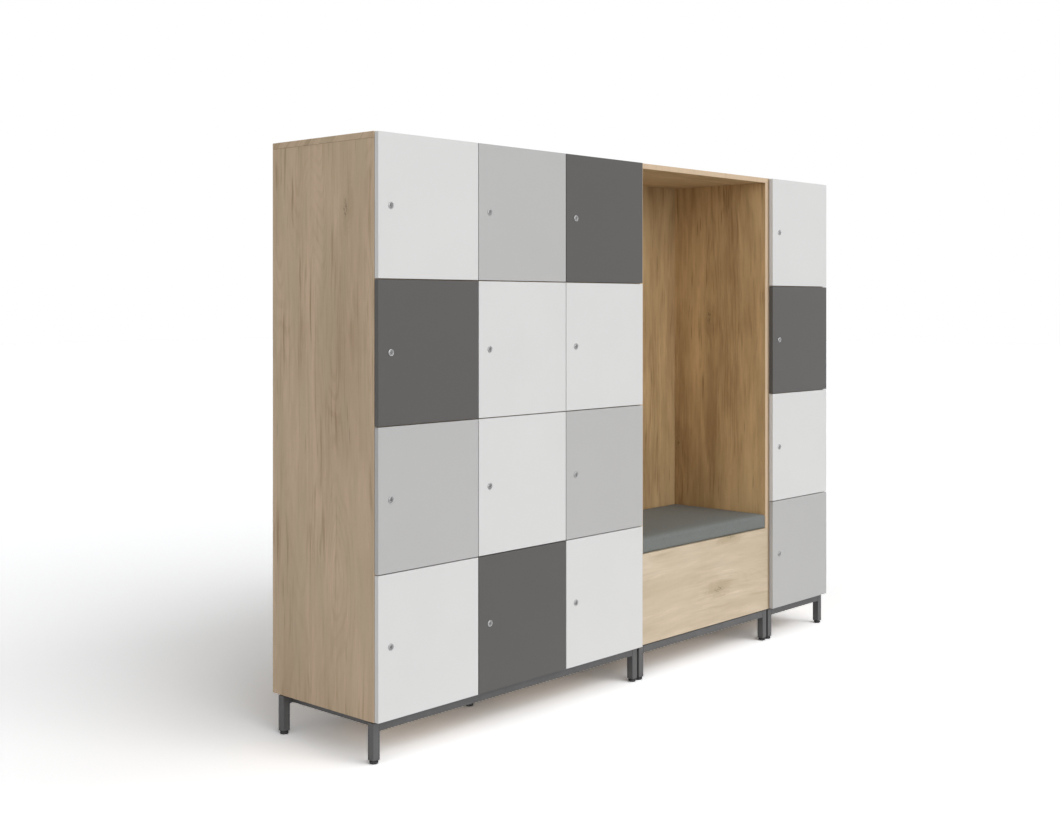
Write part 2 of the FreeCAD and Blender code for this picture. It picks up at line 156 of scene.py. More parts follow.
def oak(name, look):
    # a printed oak decor: its length runs along one axis, its pattern across the other two
    finish = Finish(name)
    x, y, z = finish.axes()
    along = (z if look["grain"] == "z" else x) + look["start"]
    across = (x + y if look["grain"] == "z" else y + z) + look["shift"]

    def figure(fine, short, seed, detail=2, roughness=0.5, scale=1):
        return finish.noise(finish.vector(across * fine, along * short, seed), scale, detail, roughness)

    # spindle-shaped marks, at most one to a cell, and only a share of the cells has one
    def strokes(wide, long, share, core, edge, shift):
        away, dice = finish.cells(finish.vector(across / wide + shift, along / long + shift, 0))
        chosen = dice[0].between(1 - share, 1 - share + 0.03)
        return (1 - away.between(core, edge)) * chosen * (dice[1] * 0.6 + 0.4)

    lean, waver, jitter = figure(2.2, 0.9, 0) - 0.5, figure(12, 5.5, 2) - 0.5, figure(90, 22, 4) - 0.5
    across = across + lean * look["wander"] + waver * look["waver"] + jitter * 0.0016

    # the year rings are contour lines of a slow field, so they run as stripes and close in arches
    field = figure(4.6, look["slope"], 61, 2, 0.4)
    rings = (field * look["rings"] + jitter * 1.6).wave().between(-0.1, 1.0)
    ringPatches = figure(7, 1.2, 67).between(0.42, 0.62)
    # dark veins gather in clusters, fine lines come and go in patches, flames and cracks are single marks
    clusters = figure(11, 2.4, 37).between(0.49, 0.66)
    veins = figure(82, 3.6, 3, 3, 0.55).between(0.5, 0.72)
    trails = figure(60, 1.5, 41, 2, 0.6).between(0.58, 0.74)
    flames = strokes(0.026, 0.31, look["flameShare"], 0.0, 0.36, 3.3)
    cracks = strokes(0.0135, 0.33, look["crackShare"], 0.03, 0.13, 15.7)
    patches = figure(14, 1.9, 31).between(0.46, 0.64)
    lines = figure(230, 2.6, 7, 2, 0.6) - 0.5
    fibres = figure(620, 20, 9, 2, 0.6) - 0.5
    drift = figure(3.4, 0.9, 53) - 0.5
    planks = figure(17, 1.3, 0, 2, 0.5, look["spread"]) - 0.5
    clouds = figure(36, 5.0, 13, 3, 0.6, look["spread"]) - 0.5
    glints = figure(150, 4.0, 19, 2, 0.6).between(0.62, 0.76)
    pores = figure(900, 42, 5, 1).between(0.6, 0.76)

    # knots: a speckled heart in a ragged olive halo
    knot, knotDice = finish.cells(finish.vector(across * 6.1, along * 2.1 + look["shift"], 0))
    isKnot = knotDice[0].between(1 - look["knots"], 1 - look["knots"] + 0.02)
    speck = figure(190, 75, 29, 3, 0.65)
    ragged = knot + (speck - 0.5) * 0.22 + clouds * 0.25
    heart = (1 - knot.between(0.02, 0.085)) * isKnot * speck.between(0.47, 0.6)
    halo = (1 - ragged.between(0.0, 0.26)) * isKnot

    tone = 0.65 + drift * look["drift"] + planks * look["planks"] + clouds * look["clouds"]
    tone = tone + lines * (patches * 0.9 + 0.1) * look["lines"] + fibres * look["fibres"]
    tone = tone + glints * patches * look["glints"] - flames * look["flames"]
    tone = tone - (veins * (clusters * 0.9 + 0.1) + trails * 0.4) * look["veins"]
    tone = tone - halo * look["halo"] - rings * ringPatches * look["arches"]
    hue = figure(16, 2.4, 23, 3)
    colour = finish.mix(tone.between(-0.15, 1.15), (*look["dark"], 1), (*look["light"], 1))
    olive = (hue.between(0.4, 0.64) * look["tint"]).larger(halo * 0.4)
    colour = finish.mix(olive, colour, (*look["olive"], 1))
    for share, factor in ((pores * 0.16, 0.6), (cracks * look["cracks"], 0.42), (heart * 0.7, 0.35)):
        colour = finish.mix(share, colour, shade(look["dark"], factor))
    height = fibres * 0.5 + lines * 0.3 - pores * 0.6 - cracks * 0.9 - heart
    rough = look["roughness"] + (1 - tone) * 0.06 + pores * 0.08
    return finish.set(Base_Color=colour, Roughness=rough, Specular_IOR_Level=0.35,
                      Normal=finish.bump(height, 0.00012, 0.5))


def powderCoat(name, look):
    finish = Finish(name)
    place = finish.place()
    peel, cloud = finish.noise(place, 1400, 2, 0.55), finish.noise(place, 11, 3)
    colour = finish.layered(look["colour"], cloud.between(0.3, 0.7), 0.94, 1.06,
                            (peel.between(0.62, 0.75) * 0.25, 1.7))
    return finish.set(Base_Color=colour, Roughness=look["roughness"] + (cloud - 0.5) * 0.1,
                      Specular_IOR_Level=0.32, Normal=finish.bump(peel, 0.00005, 0.6))


def platedMetal(name, colour, tint, tintShare, roughness):
    # rolled or turned steel under plating: fine lines, a little haze
    finish = Finish(name)
    x, y, z = finish.axes()
    lines = finish.noise(finish.vector(x * 160, y * 160, z * 2600), 1, 2)
    haze = finish.noise(finish.place(), 60, 3, 0.6)
    plating = finish.layered(colour, haze.between(0.35, 0.7), 0.93, 1.05)
    plating = finish.mix(haze.between(0.5, 0.8) * tintShare, plating, (*tint, 1))
    return finish.set(Base_Color=plating, Metallic=1.0, Roughness=roughness + (haze - 0.5) * 0.12 + lines * 0.05,
                      Normal=finish.bump(lines, 0.00001, 0.4))


def mouldedPlastic(name, look):
    finish = Finish(name)
    place = finish.place()
    grain, scuff = finish.noise(place, 1100, 2, 0.6), finish.noise(place, 120, 4, 0.6)
    colour = finish.layered(look["colour"], scuff.between(0.55, 0.8) * 0.4, 0.9, 1.9)
    return finish.set(Base_Color=colour, Roughness=look["roughness"] + scuff * 0.12,
                      Normal=finish.bump(grain, 0.00004, 0.5))


def wovenCloth(name, look):
    # threads over and under, laid on each side of the pad by the way that side faces
    finish = Finish(name)
    place, (x, y, z), normal = finish.place(), finish.axes(), finish.axes("Normal")
    faceX, faceZ = [normal[i].size().between(0.5, 0.8) for i in (0, 2)]
    turns = 6.2832 / look["pitch"]
    wobble = finish.noise(place, 60, 2) * 2.5
    warp = ((x * (1 - faceX) + y * faceX) * turns + wobble).wave()
    weft = ((y * faceZ + z * (1 - faceZ)) * turns + wobble).wave()
    weave = warp * weft * 0.5 + 0.5
    fibres = finish.noise(place, 1500, 3, 0.7)
    melange = finish.noise(finish.vector(x * 900, y * 300, z * 300), 1, 3, 0.6)
    shading = finish.noise(place, 7, 3)
    # the weave's low points, where the bump sinks, are painted darker: painted shade between the threads
    colour = finish.layered(look["colour"], melange.between(0.35, 0.65), 0.82, 1.18,
                            ((1 - weave) * 0.22, 0.62), (fibres.between(0.6, 0.8) * 0.25, 1.5),
                            (shading.between(0.3, 0.7) * 0.1, 1.15))
    return finish.set(Base_Color=colour, Roughness=0.88 + fibres * 0.1, Specular_IOR_Level=0.2,
                      Normal=finish.bump(weave * 0.7 + fibres * 0.5, 0.00025, 0.6))


doorLooks = {
    "white": {"colour": (0.705, 0.705, 0.7), "fleck": 0.02, "roughness": 0.5},
    "light": {"colour": (0.49, 0.488, 0.484), "fleck": 0.03, "roughness": 0.5},
    "dark": {"colour": (0.098, 0.095, 0.092), "fleck": 0.05, "roughness": 0.48},
}
oakPlain = {
    "grain": "z", "shift": 0.31, "start": -0.25, "wander": 0.05, "waver": 0.01, "knots": 0.16, "halo": 0.3,
    "rings": 260, "slope": 0.8, "arches": 0.12, "spread": 1.0, "drift": 0.7, "planks": 0.55, "clouds": 0.6,
    "lines": 0.7, "fibres": 0.22, "glints": 0.3, "veins": 0.9, "flames": 0.3, "flameShare": 0.12,
    "crackShare": 0.06, "cracks": 0.6, "tint": 0.4, "roughness": 0.5,
    "dark": (0.36, 0.25, 0.15), "light": (0.66, 0.505, 0.355), "olive": (0.47, 0.38, 0.25),
}
oakLooks = {
    "upright": oakPlain,
    "level": {**oakPlain, "grain": "x", "shift": 0.37},
    "front": {**oakPlain, "grain": "x", "shift": 0.127, "start": -0.235, "wander": 0.08, "knots": 0.3,
              "halo": 0.55, "arches": 0.07, "spread": 0.62, "drift": 0.4, "planks": 0.35, "clouds": 0.95,
              "lines": 0.3, "fibres": 0.12, "veins": 0.3, "flames": 0.45, "cracks": 0.45, "glints": 0.6,
              "dark": (0.42, 0.325, 0.21), "light": (0.72, 0.6, 0.46), "olive": (0.53, 0.445, 0.3)},
    "band": {**oakPlain, "shift": 0.9, "wander": 0.02, "waver": 0.003, "knots": 0.0, "crackShare": 0.05,
             "arches": 0.1, "drift": 0.3, "planks": 0.3, "clouds": 0.2, "flames": 0.2, "veins": 0.3,
             "roughness": 0.45, "dark": (0.53, 0.385, 0.25), "light": (0.7, 0.535, 0.375),
             "olive": (0.62, 0.49, 0.33)},
    # inside the open bay above the seat: its own figure, with darker, warmer colours that paint in the shade of
    # the deep bay
    "alcove": {**oakPlain, "shift": 0.63, "wander": 0.06, "waver": 0.012, "knots": 0.25, "crackShare": 0.2,
               "cracks": 0.85, "slope": 0.42, "arches": 0.14, "lines": 0.75, "veins": 0.6, "drift": 1.1,
               "planks": 0.9, "clouds": 1.0, "spread": 0.8, "glints": 0.5, "tint": 0.2,
               "dark": (0.28, 0.16, 0.064), "light": (0.74, 0.52, 0.275), "olive": (0.53, 0.39, 0.2)},
    # the bench top over the seat: darker, warmer colours that paint in the shade under it
    "paintedShadeCeiling": {**oakPlain, "grain": "x", "shift": 0.21, "wander": 0.06, "arches": 0.3,
                "dark": (0.34, 0.22, 0.105), "light": (0.66, 0.48, 0.275), "olive": (0.48, 0.36, 0.2)},
}
# colour, tint of the haze, share of the tint, roughness
metalLooks = {
    "lock_rose_plating": ((0.42, 0.42, 0.42), (0.33, 0.33, 0.335), 0.3, 0.24),
    # a dark plating that paints shade into the lock's bore, the plug's dish and the rose's outer wall
    "lock_painted_shade_plating": ((0.16, 0.16, 0.16), (0.1, 0.1, 0.1), 0.4, 0.3),
    "hinge_plating": ((0.62, 0.61, 0.59), (0.5, 0.48, 0.45), 0.4, 0.3),
    "zinc_plating": ((0.56, 0.57, 0.58), (0.58, 0.54, 0.42), 0.5, 0.36),
    # near black: painted shade inside the key slot
    "keyway_painted_shade": ((0.1, 0.1, 0.1), (0.05, 0.05, 0.05), 0.5, 0.5),
    "wafer_brass": ((0.5, 0.38, 0.18), (0.4, 0.3, 0.15), 0.4, 0.35),
}
doorFinish = {tone: melamine("melamine_" + tone, look) for tone, look in doorLooks.items()}
bandLooks = {tone: {**look, "colour": shade(look["colour"], 0.99), "roughness": 0.36}
             for tone, look in doorLooks.items()}
bandFinish = {tone: melamine("edge_band_" + tone, look) for tone, look in bandLooks.items()}
# the back panel seen over the seat: the bay's colours made darker still, painted shade at the back of the bay
oakLooks["alcoveBack"] = {**oakLooks["alcove"], "shift": 0.29, "planks": 0.8, "lines": 0.6, **{
    tone: shade(oakLooks["alcove"][tone], 0.82)[:3] for tone in ("dark", "light", "olive")}}
oakFinish = {key: oak("oak_" + key, look) for key, look in oakLooks.items()}
rosePlating, lockPaintedShade, nickel, zinc, keyway_painted_shade, brass = [
    platedMetal(name, *look) for name, look in metalLooks.items()]
graphite = powderCoat("graphite_powder_coat", {"colour": (0.1, 0.1, 0.101), "roughness": 0.42})
blackPlastic = mouldedPlastic("black_moulding", {"colour": (0.02, 0.02, 0.02), "roughness": 0.5})
seatCloth = wovenCloth("seat_cloth", {"colour": (0.194, 0.206, 0.197), "pitch": 0.0016})
print("finishes made")


# Mesh tools

def added(name, data):
    made = bpy.data.objects.new(name, data)
    scene.collection.objects.link(made)
    return made


def stored(mesh, name="pattern"):
    data = bpy.data.meshes.new(name)
    mesh.to_mesh(data)
    mesh.free()
    return data


def piece(name, mesh, finishes, nodes=(), body="carcass", angle=35, level=True):
    # puts a finished mesh in the scene, on its body, with its finish and the nodes that it stands for
    mesh.normal_update()
    data = stored(mesh, name)
    for finish in finishes:
        data.materials.append(finish)
    data.polygons.foreach_set("use_smooth", [True] * len(data.polygons))
    data.set_sharp_from_angle(angle=radians(angle))
    made = added(name, data)
    if level:
        made.modifiers.new("level faces", "WEIGHTED_NORMAL").keep_sharp = True
    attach(made, body)
    if nodes:
        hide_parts(*nodes)
    return made


def slab(mesh, low, high, radius, steps=2, finish=0):
    # a board or block with all its arrises eased
    low, high = Vector(low), Vector(high)
    middle = (low + high) / 2
    made = bmesh.ops.create_cube(mesh, size=1, matrix=Matrix.LocRotScale(middle, None, high - low))
    corners = made["verts"]
    edges = list({edge for corner in corners for edge in corner.link_edges})
    faces = {face for corner in corners for face in corner.link_faces}
    eased = bmesh.ops.bevel(mesh, geom=edges, offset=radius, segments=steps, profile=0.5, affect="EDGES",
                            clamp_overlap=True)
    for face in {face for face in faces if face.is_valid} | set(eased["faces"]):
        face.material_index = finish


def circle(a, b, radius, steps):
    return [(a + radius * cos(2 * pi * i / steps), b + radius * sin(2 * pi * i / steps)) for i in range(steps)]


def quarterTurn(steps, start=0):
    return [radians(start + 90 * i / steps) for i in range(steps + 1)]


def placed(a, b, far, axis="y", centre=(0, 0, 0)):
    # a point given across an axis and along it
    return Vector(centre) + Vector({"x": (far, a, b), "y": (a, far, b), "z": (a, b, far)}[axis])


def loopAt(mesh, points, far, axis="y", centre=(0, 0, 0)):
    return [mesh.verts.new(placed(a, b, far, axis, centre)) for a, b in points]


def turned(mesh, profile, centre=(0, 0, 0), axis="y", steps=32):
    # a lathe: profile points are (radius, distance along the axis)
    rings = [loopAt(mesh, circle(0, 0, radius, steps if radius > 1e-7 else 1), far, axis, centre)
             for radius, far in profile]
    faces = []
    for first, second in zip(rings, rings[1:]):
        count = max(len(first), len(second))
        for i in range(count):
            j = (i + 1) % count
            loop = list(dict.fromkeys((first[i % len(first)], second[i % len(second)],
                                       second[j % len(second)], first[j % len(first)])))
            if len(loop) > 2:
                faces.append(mesh.faces.new(loop))
    return faces


def outward(mesh):
    bmesh.ops.recalc_face_normals(mesh, faces=mesh.faces[:])
    return mesh


def ringBetween(mesh, first, second, finish=0):
    for corners in zip(first, first[1:] + first[:1], second[1:] + second[:1], second):
        mesh.faces.new(corners).material_index = finish


def fillFlat(mesh, loops, finish=0):
    # fills the first loop and leaves the others open as holes
    edges = []
    for loop in loops:
        for pair in zip(loop, loop[1:] + loop[:1]):
            edges.append(mesh.edges.get(pair) or mesh.edges.new(pair))
    filled = bmesh.ops.triangle_fill(mesh, edges=edges, use_beauty=True, use_dissolve=False)["geom"]
    faces = [item for item in filled if isinstance(item, bmesh.types.BMFace)]
    for face in faces:
        face.material_index = finish
    return faces


def extruded(mesh, faces, move):
    raised = bmesh.ops.extrude_face_region(mesh, geom=faces)["geom"]
    bmesh.ops.translate(mesh, verts=[item for item in raised if isinstance(item, bmesh.types.BMVert)], vec=move)


def stamped(mesh, outline, holes, low, high, axis="y"):
    # a flat plate with holes, between two distances along an axis
    faces = fillFlat(mesh, [loopAt(mesh, loop, low, axis) for loop in (outline, *holes)])
    extruded(mesh, faces, placed(0, 0, high, axis) - placed(0, 0, low, axis))


def roundedBox(a0, a1, b0, b1, radius, steps=4):
    left, right, low, high = a0 + radius, a1 - radius, b0 + radius, b1 - radius
    return [(a + radius * cos(turn), b + radius * sin(turn))
            for a, b, start in ((right, high, 0), (left, high, 90), (left, low, 180), (right, low, 270))
            for turn in quarterTurn(steps, start)]


# Cabinet boards, each with eased arrises and its own run of grain

boards = {"ease": 0.0007, "hairline": 0.0004}


def surfaces(mesh, banded, outer=None):
    # the strip of edging along the front of a board, and the side that faces out of the row
    mesh.normal_update()
    for face in mesh.faces:
        if banded and face.normal.y < -0.3:
            face.material_index = 1
        elif outer and face.normal.dot(Vector(outer)) > 0.5:
            face.material_index = 2


def board(node, low, high, finish, banded=True, outer=None, outerFinish=None, name=None):
    mesh = bmesh.new()
    slab(mesh, low, high, boards["ease"])
    surfaces(mesh, banded, outer)
    piece(name or node + "_board", mesh, [finish, oakFinish["band"], outerFinish or finish], [node])


def columnWalls(x0, columns):
    # the left edge of each locker column, and the inner faces of its two walls
    thick = row["board"]
    for column in range(columns):
        x = x0 + column * row["column"]
        yield (x, x + (thick if column == 0 else thick / 2),
               x + row["column"] - (thick if column == columns - 1 else thick / 2))


def cabinetBoards(side, x0, x1, columns):
    thick, y0, y1, back = row["board"], row["carcass"], row["rear"], row["backPanel"]
    name, z0, z1 = side + "_cabinet", row["base"], row["top"] - thick
    upright, level = oakFinish["upright"], oakFinish["level"]
    for end, x in (("left", x0), ("right", x1 - thick)):
        board(name + "_sides", (x, y0, z0), (x + thick, y1, z1 - boards["hairline"]), upright,
              name=f"{name}_side_{end}")
    board(name + "_top", (x0, y0, z1), (x1, y1, row["top"]), level)
    board(name + "_bottom", (x0 + thick, y0, z0), (x1 - thick, back, z0 + thick), level)
    board(name + "_back", (x0 + thick, back, z0), (x1 - thick, back + row["backBoard"], z1), upright, False)
    for column in range(1, columns):
        x = x0 + column * row["column"]
        board(name + "_partitions", (x - thick / 2, y0, z0 + thick), (x + thick / 2, back, z1), upright,
              name=f"{name}_partition_{column}")
    for column, (x, left, right) in enumerate(columnWalls(x0, columns), 1):
        for step in range(1, 4):
            z = z0 + step * row["level"]
            board(name + "_shelves", (left, y0, z - thick / 2), (right, back, z + thick / 2), level,
                  name=f"{name}_shelf_{column}_{step}")


def notchedSide(name, x, way):
    # the bench's side board stands back at its foot to let the front board run across
    y0, y1, notch = row["carcass"], row["rear"], row["carcass"] + row["board"]
    z0, z1, seat = row["base"], row["top"] - row["board"], row["seat"]
    outline = [(notch, z0), (y1, z0), (y1, z1), (y0, z1), (y0, seat), (notch, seat)]
    mesh = bmesh.new()
    extruded(mesh, [mesh.faces.new(loopAt(mesh, outline, x, "x"))], (row["board"], 0, 0))
    bmesh.ops.bevel(mesh, geom=mesh.edges[:], offset=boards["ease"], segments=2, profile=0.5, affect="EDGES")
    surfaces(outward(mesh), True, (way, 0, 0))
    # the faces inside the bay take the oak with painted shade; the outward face takes the plain upright oak
    piece(name, mesh, [oakFinish[key] for key in ("alcove", "band", "upright")], ["bench_sides"])


def benchBoards():
    thick, y0, y1, back = row["board"], row["carcass"], row["rear"], row["backPanel"]
    (x0, x1), z0, seat = units[1][1:3], row["base"], row["seat"]
    z1, behind, middle = row["top"] - thick, y0 + thick, (x0 + x1) / 2
    upright, level = oakFinish["upright"], oakFinish["level"]
    notchedSide("bench_side_left", x0, -1)
    notchedSide("bench_side_right", x1 - thick, 1)
    # apart from its upper face and front edge, the top carries the oak with the bay's painted shade
    board("bench_top", (x0, y0, z1), (x1, y1, row["top"]), oakFinish["paintedShadeCeiling"], True, (0, 0, 1), level)
    # the back panel's face in the bay carries painted shade; its rear face is the plain upright oak
    board("bench_back", (x0 + thick, back, z0), (x1 - thick, back + row["backBoard"], z1),
          oakFinish["alcoveBack"], False, (0, 1, 0), upright)
    board("bench_front", (x0, y0, z0), (x1, behind, seat), oakFinish["front"], False)
    board("seat_board", (x0 + thick, behind, seat - thick), (x1 - thick, back, seat), level,
          name="bench_seat_board")
    board("bench_bottom", (x0 + thick, behind, z0), (x1 - thick, back, z0 + thick), level)
    board("seat_support", (middle - thick / 2, behind, z0 + thick), (middle + thick / 2, back, seat - thick),
          upright, name="bench_seat_rib")


cabinetBoards(*units[0])
cabinetBoards(*units[2])
benchBoards()
print("boards made")


# Doors: a banded board, two hinge cups, the lock's rose, barrel and nut, and the turning plug with its cam

door = {
    "thick": 0.016, "frontEase": 0.0008, "backEase": 0.0004, "lockIn": 0.047, "hingeIn": 0.082,
    "cupIn": 0.0225, "cupRadius": 0.0175, "cupDepth": 0.012, "barrelRadius": 0.009, "holeRadius": 0.0091,
    "roseRadius": 0.01, "proud": 0.002, "plugRadius": 0.0065, "nutBack": 0.0176, "barrelBack": 0.0183,
    "plugBack": 0.0186, "camBack": 0.0211, "camHalf": 0.007, "camReach": 0.026, "earScrews": 0.0225,
}
doorTones = {"a": ("white", "dark", "light", "white"), "b": ("light", "white", "white", "dark"),
             "c": ("dark", "white", "light", "white"), "d": ("white", "dark", "white", "light")}
columnStarts = [x for name, x0, x1, columns in units for x, left, right in columnWalls(x0, columns)]


def doorMesh(width, height):
    # front face at y = 0, back at y = thick, lower left corner at the origin
    mesh = bmesh.new()
    thick, front, rear = door["thick"], door["frontEase"], door["backEase"]
    layers = [(front * (1 - sin(turn)), front * (1 - cos(turn))) for turn in quarterTurn(3)]
    layers += [(rear * (1 - cos(turn)), thick - rear * (1 - sin(turn))) for turn in quarterTurn(2)]
    rings = [loopAt(mesh, ((inset, inset), (width - inset, inset), (width - inset, height - inset),
                           (inset, height - inset)), y) for inset, y in layers]
    for first, second in zip(rings, rings[1:]):
        ringBetween(mesh, first, second, 1)
    hole = circle(door["lockIn"], height / 2, door["holeRadius"], 32)
    lockFront, lockBack = [loopAt(mesh, hole, y) for y in (0, thick)]
    ringBetween(mesh, lockFront, lockBack, 1)
    fillFlat(mesh, [rings[0], lockFront])
    backLoops = [rings[-1], lockBack]
    for level in (door["hingeIn"], height - door["hingeIn"]):
        rim = circle(width - door["cupIn"], level, door["cupRadius"], 40)
        top, floor = [loopAt(mesh, rim, y) for y in (thick, thick - door["cupDepth"])]
        ringBetween(mesh, top, floor, 1)
        mesh.faces.new(floor).material_index = 1
        backLoops.append(top)
    fillFlat(mesh, backLoops)
    return outward(mesh)


def cupMesh(width, height):
    # pressed cup with a rolled lip, ears with rounded ends, and two screws
    mesh = bmesh.new()
    x, thick = width - door["cupIn"], door["thick"]
    outer, wall, depth, ear = door["cupRadius"] - 0.0001, 0.0012, door["cupDepth"], 0.0012
    for level in (door["hingeIn"], height - door["hingeIn"]):
        turned(mesh, [(0, -depth), (outer - 0.002, -depth), (outer, -depth + 0.002), (outer, 0),
                      (outer - 0.0003, ear), (outer - wall, ear), (outer - wall, -depth + 0.0028),
                      (outer - wall - 0.0018, -depth + 0.0012), (0, -depth + 0.0012)], (x, thick, level), "y", 40)
        outline = []
        for a, b in roundedBox(x - 0.0148, x + 0.0148, level - 0.028, level + 0.028, 0.0085, 5):
            push = max(1.0, (outer + 0.0012) / hypot(a - x, b - level))
            outline.append((x + (a - x) * push, level + (b - level) * push))
        stamped(mesh, outline, [circle(x, level, outer - 0.0006, 40)], thick + 0.0001, thick + ear)
        for end in (-1, 1):
            screwHead(mesh, (x, thick + ear, level + end * door["earScrews"]), 0.0036, 0.0011)
    return outward(mesh)


def screwHead(mesh, centre, radius, rise, axis="y", way=1):
    # a raised head with a cross recess
    turned(mesh, [(0, 0), (radius, 0), (radius * 0.96, way * rise * 0.45), (radius * 0.7, way * rise * 0.85),
                  (radius * 0.45, way * rise)], centre, axis, 20)
    arm, half = radius * 0.42, radius * 0.13
    cross = [(arm, half), (half, half), (half, arm), (-half, arm), (-half, half), (-arm, half),
             (-arm, -half), (-half, -half), (-half, -arm), (half, -arm), (half, -half), (arm, -half)]
    rim, top, bottom = [loopAt(mesh, points, way * rise * share, axis, centre) for points, share in (
        (circle(0, 0, radius * 0.45, 20), 1), (cross, 1), ([(a * 0.8, b * 0.8) for a, b in cross], 0.25))]
    fillFlat(mesh, [rim, top])
    ringBetween(mesh, top, bottom)
    mesh.faces.new(bottom)


def roseMesh():
    # turned collar on the face and the threaded barrel through the door
    mesh = bmesh.new()
    rose, proud, bore = door["roseRadius"], door["proud"], door["plugRadius"] + 0.0001
    back, barrel, inner, rim = door["barrelBack"], door["barrelRadius"], bore + 0.0008, rose - 0.0002
    profile = [(bore, back), (bore, -proud + 0.0011), (inner, -proud + 0.001), (inner + 0.0002, -proud + 0.0003),
               (inner + 0.0005, -proud + 0.00005), (inner + 0.0009, -proud), (rose - 0.0009, -proud + 0.0001),
               (rose - 0.0004, -proud + 0.0003), (rose - 0.0001, -proud + 0.0007), (rose, -proud + 0.0012),
               (rose, 0.0), (barrel, 0.00001)]
    turns = 11
    for step in range(turns):
        far = 0.0015 + step * (back - 0.002) / turns
        profile += [(barrel, far), (barrel - 0.0005, far + 0.0007)]
    profile += [(barrel - 0.0005, back), (bore, back)]
    # the bore and the collar's outer wall take the dark plating: painted shade in the bore and where the collar
    # meets the door
    for face in turned(mesh, profile, steps=40):
        middle = face.calc_center_median()
        away = hypot(middle.x, middle.z)
        face.material_index = int(away < inner or (away > rim and middle.y > -proud + 0.0004))
    return outward(mesh)


def nutMesh():
    # a round nut with two flats for a spanner
    mesh = bmesh.new()
    outline = [(max(-0.0118, min(0.0118, a)), b) for a, b in circle(0, 0, 0.013, 48)]
    stamped(mesh, outline, [circle(0, 0, door["holeRadius"], 32)], door["thick"] + 0.00002, door["nutBack"])
    return outward(mesh)


def plugMesh():
    # the key slot is cut in the plug's dished face; the wafers show as a step inside it
    mesh = bmesh.new()
    radius, front, back = door["plugRadius"], -door["proud"] + 0.0003, door["plugBack"]
    turned(mesh, [(radius - 0.0005, front), (radius - 0.0001, front + 0.0004), (radius, front + 0.0009),
                  (radius, back), (0, back)], steps=40)
    dish = front + 0.0005
    rim, lip, bed = [loopAt(mesh, circle(0, 0, far, 40), y)
                     for far, y in ((radius - 0.0005, front), (0.0048, front), (0.0045, dish))]
    edge = roundedBox(-0.0007, 0.0007, -0.0034, 0.0034, 0.0003, 2)
    lead, top, floor = [loopAt(mesh, points, y) for points, y in (
        ([(a * 1.5, b * 1.08) for a, b in edge], dish), (edge, dish + 0.0004), (edge, front + 0.005))]
    ringBetween(mesh, rim, lip)
    # the dish takes the dark plating: painted shade in the plug's dished face
    ringBetween(mesh, lip, bed, 3)
    fillFlat(mesh, [bed, lead], 3)
    ringBetween(mesh, lead, top)
    # the slot's walls and floor are near black: painted shade inside the slot
    ringBetween(mesh, top, floor, 1)
    mesh.faces.new(floor).material_index = 1
    for level in (-0.0021, -0.0002, 0.0017):
        slab(mesh, (-0.00069, front + 0.0024, level), (0.00069, front + 0.0049, level + 0.0011), 0.00008, 1, 2)
    return outward(mesh)


def camMesh():
    # the pressed tongue hangs from the plug, held by a hexagon-headed screw
    mesh = bmesh.new()
    y0, y1, half, reach = door["plugBack"], door["camBack"], door["camHalf"], door["camReach"]
    outline = [(half * cos(radians(t)), half * sin(radians(t))) for t in range(0, 181, 12)]
    outline += [(-half, -reach + 0.003), (-half + 0.0009, -reach + 0.0009), (-half + 0.003, -reach),
                (half - 0.003, -reach), (half - 0.0009, -reach + 0.0009), (half, -reach + 0.003)]
    stamped(mesh, outline, [circle(0, 0, 0.0022, 16)], y0, y1)
    turned(mesh, [(0, y1 + 0.0029), (0.0022, y1 + 0.003), (0.0034, y1 + 0.0024), (0.0036, y1 + 0.0006),
                  (0.004, y1 + 0.0004), (0.004, y1), (0, y1)], steps=6)
    return outward(mesh)


def moved(pattern, spot):
    mesh = bmesh.new()
    mesh.from_mesh(pattern)
    bmesh.ops.translate(mesh, verts=mesh.verts[:], vec=spot)
    return mesh


doorWidth, doorHeight = row["column"] - row["gap"], row["level"] - row["gap"]
patterns = {ending: stored(mesh) for ending, mesh in (
    ("_board", doorMesh(doorWidth, doorHeight)), ("_hinge_cups", cupMesh(doorWidth, doorHeight)),
    ("_lock_rose", roseMesh()), ("_lock_nut", nutMesh()), ("_plug", plugMesh()), ("_cam", camMesh()))}
slots = {"white": "door_white", "light": "door_light_grey", "dark": "door_dark_grey"}
for letter, x in zip(doorTones, columnStarts):
    for number, tone in enumerate(doorTones[letter], 1):
        doorNode, lockNode = f"door_{letter}{number}", f"lock_{letter}{number}"
        corner = Vector((x + row["gap"] / 2, row["face"], row["top"] - number * row["level"] + row["gap"] / 2))
        lockAt = corner + Vector((door["lockIn"], 0, doorHeight / 2))
        for node, ending, spot, slot, finishes in (
                (doorNode, "_board", corner, slots[tone], [doorFinish[tone], bandFinish[tone]]),
                (doorNode, "_hinge_cups", corner, "hinge_steel", [nickel]),
                (doorNode, "_lock_rose", lockAt, "lock_chrome", [rosePlating, lockPaintedShade]),
                (doorNode, "_lock_nut", lockAt, "lock_chrome", [zinc]),
                (lockNode, "_plug", lockAt, "lock_chrome", [rosePlating, keyway_painted_shade, brass, lockPaintedShade]),
                (lockNode, "_cam", lockAt, "lock_chrome", [zinc])):
            piece(node + ending, moved(patterns[ending], spot), finishes, [node], node)
print("doors and locks made")


# Steel, plastic and small metal parts that keep their CAD shapes

for name, finish in (("left_base_frame", graphite), ("bench_base_frame", graphite), ("right_base_frame", graphite),
                     ("frame_spacers", blackPlastic), ("frame_bolts", zinc), ("linking_fasteners", zinc)):
    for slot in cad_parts[name].material_slots:
        slot.material = finish


# Base frames: weld beads where a rail meets a leg or another rail, and the feet that stand in the legs

